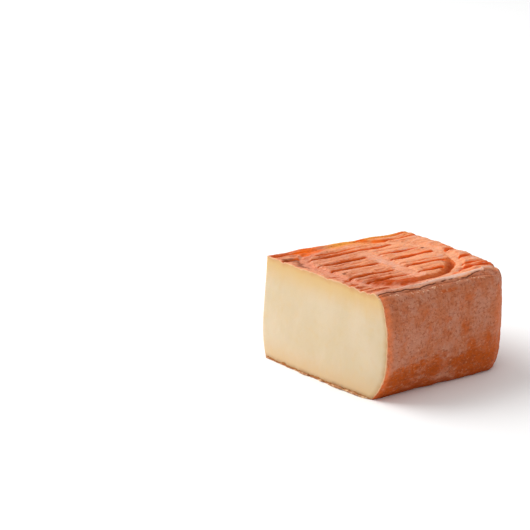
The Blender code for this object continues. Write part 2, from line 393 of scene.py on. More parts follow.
def rack_lines(x, y, inside, width):
    """Depth of the rack lines, and 1 at the bottom of a clear line, before the frame flattens them."""
    after_bar = smooth_step((y - FRAME_CENTRE[1]) / BAR_WIDTH + 0.5)
    deepest = bottom = 0.0
    for line_x, half_width, *depths in RACK_LINES + FAINT_LINES:
        near = mix(depths[0], depths[1], inside)
        far = mix(depths[3], depths[2], inside)
        flank = GENTLE_FLANK if x < line_x else STEEP_FLANK
        aside = abs(x - line_x) / (half_width * flank * width)
        if aside > CROWN_REACH:
            continue
        core = smooth_step(1.0 - aside)
        change = noise.noise(Vector((line_x * LINE_SEED_SCALE, y / LINE_CHANGE_SPAN, 0.0)))
        depth = mix(near, far, after_bar) * (1.0 + LINE_CHANGE * change)
        shape = mix(core, smooth_step(1.0 - aside / CROWN_REACH), CROWN)
        deepest = max(deepest, depth * shape)
        bottom = max(bottom, shape * min(depth / CLEAR_LINE, 1.0))
    return deepest, bottom


def frame_masks(x, y):
    """Inside of the frame, its band, trench and crossbar, and how deep and how wide rack lines are left."""
    distance = frame_distance(x, y)
    inside = wall(distance, WALL_WIDTH)
    beside_band = abs(distance) - BAND_WIDTH / 2
    band = wall(beside_band, WALL_WIDTH)
    trench = trench_share(x, y, distance)
    beside_bar = abs(y - FRAME_CENTRE[1] + BAR_LEAN * (x - FRAME_CENTRE[0])) - BAR_WIDTH / 2
    past_start = inside * smooth_step((x - BAR_START) / WALL_WIDTH)
    bar = past_start * wall(beside_bar, WALL_WIDTH)
    end_seed = LINE_END_SEEDS[0] if y < FRAME_CENTRE[1] else LINE_END_SEEDS[1]
    end = LINE_END * noise.noise(Vector((x / LINE_END_SPAN, end_seed, 0.0)))
    faded = max(wall(beside_band + end, LINE_FADE), past_start * wall(beside_bar, LINE_FADE))
    faded = max(faded, smooth_step(TRENCH_CLEARS * trench))
    clear = mix(1.0, min(beside_band / LINE_TAPER_REACH, 1.0), inside)
    clear = min(clear, mix(1.0, beside_bar / LINE_TAPER_REACH, past_start))
    return inside, band, trench, bar, 1.0 - faded, mix(LINE_TAPER, 1.0, smooth_step(clear))


def rounded_edge(distance, radius, drop):
    """How far a rim has fallen at a distance from its edge, as a quarter of an ellipse."""
    reach = 1.0 - min(distance / radius, 1.0)
    return drop * (1.0 - math.sqrt(1.0 - reach * reach))


def rim_share(x, y):
    """Distance from the nearest rind side, and 1 where that is the right one, 0 where it is the far one."""
    from_right = TOP_WIDTH - x
    from_far = TOP_LENGTH - y
    return min(from_right, from_far), smooth_step((from_far - from_right) / ROUND_CORNER_RADIUS + 0.5)


def before_corner(y, reach):
    """1 up to the round corner, falling to 0 within reach of the far rim."""
    return smooth_step((TOP_LENGTH - y) / reach - CORNER_MARGIN)


def towards_corner(y):
    """0 along most of the right rim, rising to 1 towards the round corner."""
    return smooth_step((y - CORNER_START) / CORNER_REACH)


def inwards(y):
    """How far the lip and the crease have moved in from the right rim towards the round corner."""
    return CORNER_INWARDS * towards_corner(y)


def crease_inset(y):
    """Distance of the crease from the right rim, which wanders along it."""
    return CREASE_INSET + waves(y, 0.0, CREASE_WAVES) + inwards(y)


def rim(x, y):
    """Fall of the top towards the two rind sides, with the lip and the crease of the right one."""
    distance, share = rim_share(x, y)
    from_right = TOP_WIDTH - x
    fall = rounded_edge(distance, mix(FAR_RIM_RADIUS, RIM_RADIUS, share), mix(FAR_RIM_DROP, RIM_DROP, share))
    lip = LIP_HEIGHT * ridge(from_right - LIP_INSET - inwards(y), LIP_WIDTH) * (1.0 + waves(y, x, LIP_WAVES))
    crease = CREASE_DEPTH * ridge(from_right - crease_inset(y), CREASE_WIDTH)
    corner = smooth_step(1.0 - math.hypot(from_right, TOP_LENGTH - y) / CORNER_DROP_REACH)
    raised = lip * before_corner(y, LIP_END) - crease * before_corner(y, CREASE_END)
    return raised - fall - CORNER_DROP * corner


def spots(places, x, y):
    """The strongest of some soft oval spots at a place, from 0 to 1, with ragged edges."""
    ragged = waves(x, y, SPOT_WAVES)
    strongest = 0.0
    for middle_x, middle_y, half_x, half_y in places:
        off = math.hypot((x - middle_x) / half_x, (y - middle_y) / half_y)
        if off < SPOT_REACH:
            strongest = max(strongest, smooth_step(SPOT_MIDDLE - SPOT_FALL * off + ragged))
    return strongest


def rim_marks(x, y):
    """Masks of the grey lip, of the crease's painted shade, and of the side's colour beyond it."""
    from_right = TOP_WIDTH - x
    lip_width = LIP_WIDTH * mix(*LIP_MARK_WIDTHS, towards_corner(y))
    lip = ridge(from_right - LIP_INSET + LIP_MARK_SHIFT - inwards(y), lip_width)
    crease = ridge(from_right - crease_inset(y), CREASE_MARK)
    return {
        "lip": lip * before_corner(y, LIP_END),
        "crease": crease * before_corner(y, CREASE_END),
        "side": wall(from_right - crease_inset(y), SIDE_EDGE),
    }


@lru_cache(maxsize=None)
def top_point(s, t):
    """Height of the top and its masks, where s and t run from 0 to 1 along the front and the left cut."""
    near = mix(KNIFE_CORNER.z, FRONT_CORNER.z, s)
    far = mix(BACK_CORNER.z, ROUND_CORNER.z, s)
    x, y = s * TOP_WIDTH, t * TOP_LENGTH
    line_x, line_y = x + waves(x, y, LINE_ASIDE), y + waves(x, y, LINE_AHEAD)
    inside, band, trench, bar, kept, width = frame_masks(line_x, line_y)
    at_knife = smooth_step(1.0 - y / KNIFE_CALM)
    kept *= 1.0 - KNIFE_FLAT * at_knife
    lines, bottom = rack_lines(line_x, line_y, inside, width)
    pressed = max(band * BAND_DEPTH, trench * TRENCH_DEPTH, bar * BAR_DEPTH)
    calm = PRESSED_CALM * max(band, trench, bar, at_knife)
    height = mix(near, far, t) - pressed - lines * kept + rim(x, y)
    height += waves(x, y, TOP_SWELLS) + waves(x, y, TOP_BUMPS) * (1.0 - calm)
    marks = {
        "line": bottom * kept,
        "band": band,
        "trench": trench,
        "bar": bar,
        "stain": spots(STAINS, x, y),
        "rust": spots(RUSTS, x, y),
        "shade": spots(SHADES, x, y),
        "bloom": spots(BLOOMS_AND_HIGHLIGHTS, x, y),
        **rim_marks(x, y),
    }
    return height, marks


def plan(s, t, right_out, far_out):
    """Place in plan of a point of the top, once the two rind sides have moved outwards."""
    left = mix(KNIFE_CORNER.x, BACK_CORNER.x, t)
    right = mix(FRONT_CORNER.x, ROUND_CORNER.x, t) + right_out
    near = mix(KNIFE_CORNER.y, FRONT_CORNER.y, s)
    far = mix(BACK_CORNER.y, ROUND_CORNER.y, s) + FAR_BOW * bow(s) + far_out
    drift = bow(s) * waves(0.0, t * TOP_LENGTH, EDGE_DRIFT)
    x, y = mix(left, right, s) + drift, mix(near, far, t)
    radius = ROUND_CORNER_RADIUS + min(right_out, far_out)
    centre_x = ROUND_CORNER.x + right_out - radius
    centre_y = ROUND_CORNER.y + far_out - radius
    dx, dy = x - centre_x, y - centre_y
    if dx > 0.0 and dy > 0.0:
        pull = max(dx, dy) / math.hypot(dx, dy)
        x, y = centre_x + dx * pull, centre_y + dy * pull
    return x, y


def slump(depth, foot_share):
    """Shape of a slumped cut face, from 0 at the rim, depth 0, through 1 in its lower third."""
    belly = (1.0 - foot_share) * SLUMP_SCALE * depth * (1.0 - depth**SLUMP_POWER)
    return belly + foot_share * smooth_step(SLUMP_FOOT_RISE * depth)


def skin_point(s, t, angle):
    """A point of the sides: s and t on the edge of the plan, and the angle from the rim to the foot."""
    corner = s * t
    square = mix(SQUARE_ABOVE, SQUARE_CORNER, corner)
    out = max(math.cos(angle), 0.0) ** (2.0 / square)
    up = abs(math.sin(angle)) ** (2.0 / square)
    rim_height, _ = top_point(s, t)
    z = mix(WIDEST_HEIGHT, rim_height if angle > 0.0 else 0.0, up)
    below = 1.0 if angle < 0.0 else 0.0
    if angle < 0.0:
        out = mix(1.0 - up**FOOT_POWER, out, corner)
    wave = waves(s * TOP_WIDTH, t * TOP_LENGTH, FOOT_WAVES)
    right_inset = (mix(RIGHT_INSET, CORNER_INSET, math.sqrt(t)) + wave) * below
    far_inset = (mix(FAR_INSET, CORNER_INSET, math.sqrt(s)) + wave) * below
    swell = noise.noise(Vector((s, t, z / BLOCK_SPAN)) / (SIDE_UNEVEN_SPAN / BLOCK_SPAN))
    fine = bumps(Vector((s * TOP_WIDTH, t * TOP_LENGTH, z)), SIDE_BUMPS) * smooth_step(z / FOOT_CALM)
    relief = SIDE_UNEVEN * out * swell + fine * smooth_step(SIDE_BUMPS_RISE * out)
    right_out = mix(-right_inset, mix(RIGHT_BULGE, CORNER_BULGE, t), out) + relief
    far_out = mix(-far_inset, mix(FAR_BULGE, CORNER_BULGE, s), out) + relief
    x, y = plan(s, t, right_out, far_out)
    depth = 1.0 - z / rim_height
    x -= LEFT_SLUMP * slump(depth, LEFT_SLUMP_FOOT) * (1.0 - s)
    y -= FRONT_SLUMP * slump(depth, FRONT_SLUMP_FOOT) * (1.0 - t) * math.sqrt(bow(s))
    return Vector((x, y, z))


def even_shares(length, gap):
    """Evenly spaced values from 0 to 1, about gap apart over that length."""
    steps = round(length / gap)
    return [step / steps for step in range(steps + 1)]


def even_angles(levels):
    """Angles from the rim, a right angle, down to the foot."""
    return [math.pi / 2 - math.pi * level / levels for level in range(levels + 1)]


COLUMNS = even_shares(TOP_WIDTH, TOP_GAP)
COLUMNS += [(low + high) / 2 for low, high in zip(COLUMNS[-RIM_COLUMNS:], COLUMNS[1 - RIM_COLUMNS:])]
COLUMNS.sort()
ROWS = even_shares(TOP_LENGTH, TOP_GAP)
RIND_EDGE = [(1.0, t) for t in ROWS] + [(s, 1.0) for s in reversed(COLUMNS[:-1])]

RIND_MASKS = (
    "line", "band", "trench", "bar", "stain", "rust", "shade", "bloom", "lip", "crease", "side", "patch",
    "near_cut_and_corner_light", "section", "low",
)


def add_object(name, data):
    made = bpy.data.objects.new(name, data)
    bpy.context.scene.collection.objects.link(made)
    return made


def make_piece(mesh, name):
    """Moves a mesh into the frame of the part and makes a piece of it."""
    bmesh.ops.translate(mesh, verts=mesh.verts, vec=-FOOTPRINT_MIDDLE)
    data = bpy.data.meshes.new(name)
    mesh.to_mesh(data)
    mesh.free()
    data.shade_smooth()
    return add_object(name, data)


class Sheets:
    """A mesh that grows by sheets of points. Each point carries named masks from 0 to 1."""

    def __init__(self, names):
        self.mesh = bmesh.new()
        self.layers = {name: self.mesh.verts.layers.float.new(name) for name in names}

    def vert(self, point, masks):
        vert = self.mesh.verts.new(point)
        for name, value in masks.items():
            vert[self.layers[name]] = value
        return vert

    def add(self, rows):
        """Makes faces between rows of (point, masks) pairs."""
        made = [[self.vert(point, masks) for point, masks in row] for row in rows]
        for low, high in zip(made, made[1:]):
            for left in range(len(low) - 1):
                self.mesh.faces.new((low[left], low[left + 1], high[left + 1], high[left]))

    def add_face(self, row):
        self.mesh.faces.new([self.vert(point, masks) for point, masks in row])

    def to_piece(self, name, sharp_angle):
        """Joins the sheets and makes a piece of them."""
        bmesh.ops.remove_doubles(self.mesh, verts=self.mesh.verts, dist=MERGE_GAP)
        bmesh.ops.recalc_face_normals(self.mesh, faces=self.mesh.faces)
        piece = make_piece(self.mesh, name)
        piece.data.set_sharp_from_angle(angle=math.radians(sharp_angle))
        return piece


def near_cut_and_corner_light(point):
    """1 at a knife cut, and as painted rim light less at the round corner below its top, falling to 0 some
    way off.
    """
    left = mix(KNIFE_CORNER.x, BACK_CORNER.x, point.y / TOP_LENGTH)
    distance = min(point.y - KNIFE_CORNER.y, point.x - left)
    at_cut = smooth_step(1.0 - max(distance, 0.0) / NEAR_CUT_REACH)
    to_corner = math.hypot(point.x - ROUND_CORNER.x, point.y - ROUND_CORNER.y)
    below_top = smooth_step((CORNER_RIM_LIGHT_TOP - point.z) / CORNER_RIM_LIGHT_FADE)
    at_corner = smooth_step(1.0 - to_corner / CORNER_RIM_LIGHT_REACH) * below_top
    return max(at_cut, CORNER_RIM_LIGHT * at_corner)


def rind_top():
    rows = []
    for t in ROWS:
        row = []
        for s in COLUMNS:
            height, marks = top_point(s, t)
            point = Vector((*plan(s, t, 0.0, 0.0), height))
            row.append((point, {**marks, "near_cut_and_corner_light": near_cut_and_corner_light(point)}))
        rows.append(row)
    return rows


def rind_sides():
    """Rows of the two rind sides, from the rim down to the foot."""
    rows = []
    for angle in even_angles(RIND_LEVELS):
        row = []
        for s, t in RIND_EDGE:
            point = skin_point(s, t, angle)
            _, marks = top_point(s, t)
            fade = smooth_step((math.degrees(angle) - RIM_MARK_ANGLE) / RIM_MARK_FADE)
            side = max(1.0 - fade, marks["side"])
            marks = {name: value * fade for name, value in marks.items()}
            marks["side"] = side
            marks["patch"] = spots(PATCHES, point.y, point.z) if s == 1.0 else 0.0
            row.append((point, {**marks, "near_cut_and_corner_light": near_cut_and_corner_light(point)}))
        rows.append(row)
    return rows


def foot_outline():
    edge = [(s, 0.0) for s in COLUMNS[:-1]] + RIND_EDGE + [(0.0, t) for t in reversed(ROWS[1:-1])]
    return [(skin_point(s, t, -math.pi / 2), {"side": 1.0}) for s, t in edge]


def cut_place(front, share):
    """Where a share along the front cut, or else the left one, lies on the plan, as (s, t)."""
    return (share, 0.0) if front else (0.0, share)


def cut_outwards(front):
    return Vector((0.0, -1.0, 0.0)) if front else Vector((-1.0, 0.0, 0.0))


def cut_outline(front):
    """The rind's edge around a knife cut: (share, angle, sideways and upwards part of the way inwards)."""
    shares = COLUMNS if front else ROWS
    angles = even_angles(RIND_LEVELS)
    found = [(share, angles[0], 0.0, -1.0) for share in shares[:-1]]
    found += [(1.0, angle, -math.cos(angle), -math.sin(angle)) for angle in angles]
    found += [(share, angles[-1], 0.0, 1.0) for share in reversed(shares[:-1])]
    return found


def section_steps(point, low):
    """Steps across the section, from the rind inwards: (way inwards, how proud, section mask)."""
    width = SECTION_WIDTH + bumps(point, SECTION_RAGGED)
    width = max(width * (1.0 + SECTION_LOW_WIDER * low), SECTION_LEAST)
    change = noise.noise(point / SECTION_PROUD_SPAN + SECTION_PROUD_SEED)
    proud = SECTION_PROUD * (1.0 + SECTION_PROUD_CHANGE * change)
    return (
        (0.0, 0.0, 0.3),
        (SECTION_EDGE, proud, 0.7),
        (width, SECTION_INNER_PROUD * proud, 1.0),
        (width + SECTION_SUNK_WIDTH, SECTION_SUNK, 1.0),
    )


def section_band(front):
    """Rows of the thin, ragged section of rind that frames a knife cut and stands just proud of it."""
    length = TOP_WIDTH if front else TOP_LENGTH
    rows = [[], [], [], []]
    for share, angle, sideways, upwards in cut_outline(front):
        point = skin_point(*cut_place(front, share), angle)
        low = smooth_step(1.0 - point.z / SECTION_LOW)
        for row, (inset, out, section) in zip(rows, section_steps(point, low)):
            place = skin_point(*cut_place(front, share + sideways * inset / length), angle)
            place += cut_outwards(front) * out
            place.z = max(place.z + upwards * inset, 0.0)
            row.append((place, {"section": section, "near_cut_and_corner_light": 1.0, "side": 0.5, "low": low}))
    return rows


def rind_piece():
    sheets = Sheets(RIND_MASKS)
    sheets.add(rind_top())
    sheets.add(rind_sides())
    sheets.add(section_band(True))
    sheets.add(section_band(False))
    sheets.add_face(foot_outline())
    return sheets.to_piece("rind", RIND_SHARP)


def cut_sheet(front):
    """Rows of a knife cut. Masks tell how close a point is to the rind above, aside and below it."""
    places = [cut_place(front, share) for share in (COLUMNS if front else ROWS)]
    rows = []
    for angle in even_angles(CUT_LEVELS):
        points = [skin_point(s, t, angle) for s, t in places]
        end = points[-1].x if front else points[-1].y
        row = []
        for (s, t), point in zip(places, points):
            above = top_point(s, t)[0] - point.z
            aside = end - (point.x if front else point.y)
            inner = smooth_step(min(above, aside, point.z) / PASTE_CALM)
            gaps = {"above": above, "rim": above, "aside": aside, "below": point.z, "foot": point.z}
            masks = {name: smooth_step(1.0 - gaps[name] / reach) for name, reach in PASTE_MASKS.items()}
            row.append((point + cut_outwards(front) * bumps(point, PASTE_BUMPS) * inner, masks))
        rows.append(row)
    return rows


def paste_piece():
    sheets = Sheets(PASTE_MASKS)
    sheets.add(cut_sheet(True))
    sheets.add(cut_sheet(False))
    return sheets.to_piece("paste", PASTE_SHARP)


def add_crumb(mesh, draw, place, size, stretch):
    """A small uneven lump, drawn out by the factors in stretch."""
    made = bmesh.ops.create_icosphere(mesh, subdivisions=2, radius=size)["verts"]
    seed = Vector((draw.uniform(0, CRUMB_PATTERNS), draw.uniform(0, CRUMB_PATTERNS), 0.0))
    turn = Matrix.Rotation(draw.uniform(0, math.pi), 3, "Z")
    flat = Vector((draw.uniform(*CRUMB_WIDTHS), draw.uniform(*CRUMB_WIDTHS), draw.uniform(*CRUMB_HEIGHTS)))
    for vert in made:
        lump = 1.0 + CRUMB_LUMPS * noise.noise(vert.co / size + seed)
        vert.co = (turn @ (vert.co * flat * lump)) * Vector(stretch) + place


def add_rim_crumbs(mesh, draw):
    """Pale crumbs along the crease of the right rim."""
    for middle, count in RIM_CRUMB_GROUPS:
        for _ in range(count):
            t = draw.gauss(middle, RIM_CRUMB_SPREAD)
            t = min(max(t, RIM_CRUMB_ENDS[0]), RIM_CRUMB_ENDS[1])
            place = skin_point(1.0, t, math.radians(draw.uniform(*RIM_CRUMB_ANGLES)))
            stretch = (1.0, draw.uniform(*RIM_CRUMB_LENGTHS), 1.0)
            add_crumb(mesh, draw, place, draw.uniform(*RIM_CRUMB_SIZES), stretch)


def foot_flakes(draw):
    """Flakes at the foot of the front cut, as (share along it, size, how proud of it)."""
    flakes = []
    for _ in range(FLAKE_COUNT):
        s = mix(*FLAKE_ENDS, draw.random() ** FLAKE_GATHER)
        flakes.append((s, draw.uniform(*FLAKE_SIZES)))
    flakes = [(s, size, draw.uniform(*FLAKE_PROUD)) for s, size in flakes]
    return flakes + [(x / TOP_WIDTH, size, size * BIG_FLAKE_PROUD) for x, size in BIG_FLAKES]


def crumb_piece():
    draw = random.Random(CRUMB_SEED)
    mesh = bmesh.new()
    add_rim_crumbs(mesh, draw)
    for s, size, proud in foot_flakes(draw):
        place = skin_point(s, 0.0, -math.pi / 2) - Vector((0.0, proud, 0.0))
        place.z = draw.uniform(*FLAKE_LIFT) * size
        add_crumb(mesh, draw, place, size, (draw.uniform(*FLAKE_LENGTHS), *FLAKE_FLAT))
    for vert in mesh.verts:
        vert.co.z = max(vert.co.z, 0.0)
    return make_piece(mesh, "crumbs")


def linear(light, red, green, blue):
    """The linear colour that shows as the given one, where 255 is full, on a face lit that brightly."""
    shares = [channel / 255 for channel in (red, green, blue)]
    curved = [c / 12.92 if c <= 0.04045 else ((c + 0.055) / 1.055) ** 2.4 for c in shares]
    return (*[c / light for c in curved], 1.0)


def lengthwise(factor):
    """Factors that draw noise out along Y."""
    return (1.0, factor, 1.0)


def level(factor):
    """Factors that draw noise out along X and Y."""
    return (factor, factor, 1.0)


# How far each seed moves the noise along X, Y and Z
SEED_STEPS = (1.0, 1.7, 0.6)


class Paint:
    """Builds one procedural material around its Principled shader."""

    def __init__(self, name):
        self.material = bpy.data.materials.new(name)
        self.material.use_nodes = True
        self.tree = self.material.node_tree
        self.shader = self.tree.nodes["Principled BSDF"]
        self.place = self.tree.nodes.new("ShaderNodeTexCoord").outputs["Object"]
        self.colour = None

    def node(self, kind, **settings):
        made = self.tree.nodes.new(kind)
        for name, value in settings.items():
            setattr(made, name, value)
        return made

    def feed(self, socket, value):
        if isinstance(value, bpy.types.NodeSocket):
            self.tree.links.new(value, socket)
        else:
            socket.default_value = value

    def noise(self, size, detail, seed, stretch=(1.0, 1.0, 1.0), crisp=0.5):
        """Noise from 0 to 1 with features of that size in metres, drawn out by the factors in stretch."""
        mapping = self.node("ShaderNodeMapping")
        self.feed(mapping.inputs["Vector"], self.place)
        self.feed(mapping.inputs["Location"], [seed * step for step in SEED_STEPS])
        self.feed(mapping.inputs["Scale"], [1.0 / (size * factor) for factor in stretch])
        made = self.node("ShaderNodeTexNoise")
        self.feed(made.inputs["Vector"], mapping.outputs["Vector"])
        self.feed(made.inputs["Scale"], 1.0)
        self.feed(made.inputs["Detail"], detail)
        self.feed(made.inputs["Roughness"], crisp)
        return made.outputs["Fac"]

    def mask(self, name):
        return self.node("ShaderNodeAttribute", attribute_name=name).outputs["Fac"]

    def axis(self, name):
        """Place along the X, Y or Z axis of the part, in metres."""
        split = self.node("ShaderNodeSeparateXYZ")
        self.feed(split.inputs["Vector"], self.place)
        return split.outputs[name]

    def over(self, name, places, low=0.0, high=1.0):
        """A change along the X, Y or Z axis, from low at the first of two places to high at the second."""
        return self.ramp(self.axis(name), *places, low, high)

    def ramp(self, value, start, end, low=0.0, high=1.0):
        """A value between start and end, mapped smoothly to low and high."""
        made = self.node("ShaderNodeMapRange", interpolation_type="SMOOTHSTEP")
        for socket, given in zip(made.inputs, (value, start, end, low, high)):
            self.feed(socket, given)
        return made.outputs["Result"]

    def math(self, operation, first, second):
        made = self.node("ShaderNodeMath", operation=operation)
        self.feed(made.inputs[0], first)
        self.feed(made.inputs[1], second)
        return made.outputs["Value"]

    def times(self, first, second):
        return self.math("MULTIPLY", first, second)

    def plus(self, first, second):
        return self.math("ADD", first, second)

    def blend(self, share, first, second):
        """The first colour, turning into the second as share goes from 0 to 1."""
        made = self.node("ShaderNodeMix", data_type="RGBA")
        colours = [socket for socket in made.inputs if socket.type == "RGBA"]
        self.feed(made.inputs["Factor"], share)
        self.feed(colours[0], first)
        self.feed(colours[1], second)
        return [socket for socket in made.outputs if socket.type == "RGBA"][0]

    def coat(self, share, colour):
        """Lays a colour over the ones before it, fully where share is 1."""
        self.colour = self.blend(share, self.colour, colour)

    def bump(self, height, distance, strength):
        made = self.node("ShaderNodeBump")
        self.feed(made.inputs["Height"], height)
        self.feed(made.inputs["Distance"], distance)
        self.feed(made.inputs["Strength"], strength)
        self.feed(self.shader.inputs["Normal"], made.outputs["Normal"])

    def set(self, **values):
        """Feeds sockets of the shader. An underscore in a name stands for a space."""
        for name, value in values.items():
            self.feed(self.shader.inputs[name.replace("_", " ")], value)


# How brightly the studio light falls on the top, on the front cut and on the rind sides, which face
# away from the key light
on_top = partial(linear, 1.17)
on_cut = partial(linear, 1.27)
on_side = partial(linear, 0.74)

# Colours of the rind's top, as they show in that light
TOP_SALMON = on_top(238, 154, 114)
TOP_PEACH = on_top(260, 174, 126)
WASH_ORANGE = on_top(255, 156, 80)
TOP_ROSE = on_top(212, 123, 85)
TOP_RUST = on_top(204, 88, 36)
LINE_RUST = on_top(226, 94, 16)
LINE_ORANGE = on_top(250, 96, 4)
EDGE_YELLOW = on_top(264, 178, 76)
# Painted shade at the bottom of the rack lines
LINE_SHADE_BROWN = on_top(148, 55, 4)
BAND_PINK = on_top(238, 156, 128)
BAND_PEACH = on_top(255, 180, 138)
STAIN_ORANGE = on_top(254, 108, 0)
STAIN_RUST = on_top(196, 74, 0)
SHADE_BROWN = on_top(140, 64, 30)
# Rust of the trench's sloping floor, partly painted shade, and its deepest painted shade in brown
TRENCH_RUST_AND_SHADE = on_top(214, 96, 24)
TRENCH_SHADE_BROWN = on_top(180, 68, 0)
# Pale grey bloom of the lip, partly a painted highlight
LIP_BLOOM_AND_HIGHLIGHT = on_top(258, 212, 190)
PIT_BROWN = on_top(146, 62, 26)
# Pale lilac bloom, partly painted highlight on crests
BLOOM_AND_HIGHLIGHT = on_top(238, 182, 158)
# Painted shade along the crease of the right rim
CREASE_SHADE_BROWN = on_top(104, 48, 26)

# Colours of the rind's sides
SIDE_BROWN = on_side(168, 98, 66)
SIDE_MAUVE = on_side(172, 114, 90)
SIDE_RUST = on_side(176, 78, 10)
SIDE_EARTH = on_side(158, 67, 4)
# Painted shade along the foot of the rind sides
FOOT_SHADE_BROWN = on_side(144, 58, 2)
SIDE_ORANGE = on_side(212, 113, 65)
SIDE_DARK = on_side(126, 58, 28)
SPECK = on_side(196, 146, 116)

# Colours of the rind's thin section at the knife cuts
SECTION_CREAM = on_cut(252, 208, 160)
SECTION_BROWN = on_cut(186, 122, 66)

# Colours of the paste, with painted shade where it meets the rind aside and at its foot
PASTE_IVORY = on_cut(233, 210, 174)
PASTE_CREAM = on_cut(229, 205, 165)
PASTE_STRAW = on_cut(236, 190, 114)
PASTE_RIM = on_cut(230, 166, 98)
PASTE_PEACH = on_cut(232, 194, 143)
PASTE_FOOT_SHADE = on_cut(186, 134, 80)
PASTE_EDGE_SHADE = on_cut(208, 160, 104)

# Colours of the crumbs
RIM_CRUMB = on_side(206, 160, 130)
FLAKE_BROWN = on_cut(186, 120, 66)
FLAKE_CREAM = on_cut(244, 202, 154)

# Where colours change on the part: the place where a change starts, and the one where it is full
# The top grows paler towards the far end, partly painted light
TOP_FAR = (-0.035, 0.025)
WASH_ACROSS = (-0.027, -0.040)
WASH_ALONG = (-0.022, 0.0)
EDGE_ACROSS = (-0.0375, -0.0422)
EDGE_ALONG = (-0.016, -0.004)
LINES_FAR = (-0.03, 0.02)
LIP_PALER = (-0.045, 0.0)
CREASE_SOLID = (-0.005, -0.025)
SIDE_LOW = (0.028, 0.006)
SIDE_FAR = (-0.01, 0.035)
FLECKS_LOW = (0.011, 0.005)
FOOT_SHADE_RISE = (0.0050, 0.0012)
STRIP_FULLER = (0.002, 0.016)
CRUMBS_PALER = (0.004, 0.030)

# How far noise frays the outlines of lines, trench and foot
LINE_FRAY = 0.08
TRENCH_FRAY = 0.16
FOOT_FRAY = 0.0015


def broken(paint, name, size, seed, length):
    """A mask with its edges and its middle broken up by noise, drawn out along Y by the factor length."""
    clouds = paint.noise(size, 4, seed, lengthwise(length))
    patchy = paint.plus(paint.mask(name), paint.times(clouds, 1.3))
    return paint.times(paint.ramp(patchy, 0.95, 1.75), paint.ramp(paint.mask(name), 0.02, 0.15))


def frayed(paint, value, pattern, reach):
    """A value that the pattern moves by up to reach, either way."""
    return paint.plus(value, paint.ramp(pattern, 0.3, 0.7, -reach, reach))


def beside_left(paint, across, length):
    """1 towards the left knife cut and the far rind, falling to 0 over the given stretches."""
    return paint.times(paint.over("X", across), paint.over("Y", length))


def top_clouds(paint, far, fewer):
    """Salmon and peach, with rosier clouds and pale streaks of bloom, partly painted highlight."""
    pale = paint.plus(paint.noise(0.011, 4, 2), paint.times(paint.plus(far, -0.4), 0.5))
    paint.colour = paint.blend(paint.ramp(pale, 0.36, 0.6), TOP_SALMON, TOP_PEACH)
    rosy = paint.times(paint.ramp(paint.noise(0.014, 4, 4), 0.5, 0.66, 0.0, 0.8), fewer)
    paint.coat(paint.times(rosy, fewer), TOP_ROSE)
    crests = paint.ramp(paint.noise(0.0011, 4, 38, lengthwise(7.0), 0.6), 0.52, 0.68, 0.0, 0.6)
    paint.coat(crests, BLOOM_AND_HIGHLIGHT)


def top_pressed(paint, far):
    """Pinker where pressed, and washed with orange beside the left cut."""
    pressed = paint.math("MAXIMUM", paint.mask("band"), paint.mask("bar"))
    paint.coat(paint.times(pressed, 0.65), paint.blend(far, BAND_PINK, BAND_PEACH))
    patches = paint.ramp(paint.noise(0.007, 4, 37, lengthwise(1.8)), 0.34, 0.58, 0.2, 0.85)
    washed = paint.times(beside_left(paint, WASH_ACROSS, WASH_ALONG), patches)
    paint.coat(washed, WASH_ORANGE)


def top_grain(paint, fewer):
    """Rusty streaks along the rack lines, pale bloom with painted highlights on some crests, and fine grain.
    """
    streaks = paint.ramp(paint.noise(0.0013, 3, 1, lengthwise(6.0)), 0.46, 0.72, 0.0, 0.8)
    paint.coat(paint.times(streaks, fewer), TOP_RUST)
    bloom = paint.ramp(paint.noise(0.0024, 5, 3, lengthwise(2.0)), 0.52, 0.68, 0.0, 0.45)
    bloom = paint.plus(bloom, paint.times(broken(paint, "bloom", 0.0022, 15, 2.0), 0.6))
    paint.coat(bloom, BLOOM_AND_HIGHLIGHT)
    grain = paint.noise(0.0010, 4, 42, lengthwise(1.3), 0.7)
    paint.coat(paint.ramp(grain, 0.52, 0.7, 0.0, 0.4), TOP_RUST)
    paint.coat(paint.ramp(grain, 0.5, 0.34, 0.0, 0.4), TOP_PEACH)


def top_lines(paint, far):
    """Rust in the trench of the frame and in the rack lines, with painted shade: the trench's rust and
    brown, and the brown at the bottom of the lines.
    """
    streaks = paint.noise(0.003, 5, 16, lengthwise(3.0), 0.65)
    trench = frayed(paint, paint.mask("trench"), streaks, TRENCH_FRAY)
    paint.coat(paint.ramp(trench, 0.04, 0.34, 0.0, 0.9), TRENCH_RUST_AND_SHADE)
    paint.coat(paint.ramp(trench, 0.42, 0.88, 0.0, 0.9), TRENCH_SHADE_BROWN)
    rust = paint.blend(paint.over("Y", LINES_FAR), LINE_RUST, LINE_ORANGE)
    streaks = paint.noise(0.0016, 4, 36, lengthwise(3.0), 0.6)
    line = frayed(paint, paint.mask("line"), streaks, LINE_FRAY)
    paint.coat(paint.ramp(line, 0.13, 0.38, 0.0, 0.95), rust)
    brown = paint.plus(0.85, paint.times(far, -0.25))
    paint.coat(paint.ramp(line, 0.34, 0.72, 0.0, brown), LINE_SHADE_BROWN)


def top_marks(paint, far):
    """The yellow edge of the left cut, stains, rusts, and painted shade in dark hollows."""
    edge = paint.ramp(paint.noise(0.006, 4, 34), 0.3, 0.5)
    edge = paint.times(beside_left(paint, EDGE_ACROSS, EDGE_ALONG), edge)
    paint.coat(paint.times(edge, 0.9), EDGE_YELLOW)
    stain = broken(paint, "stain", 0.004, 17, 2.5)
    paint.coat(paint.times(stain, 0.9), STAIN_ORANGE)
    rust = broken(paint, "rust", 0.003, 35, 2.0)
    paint.coat(rust, paint.blend(far, STAIN_RUST, LINE_ORANGE))
    shade = broken(paint, "shade", 0.003, 18, 1.6)
    paint.coat(paint.times(shade, 0.8), SHADE_BROWN)


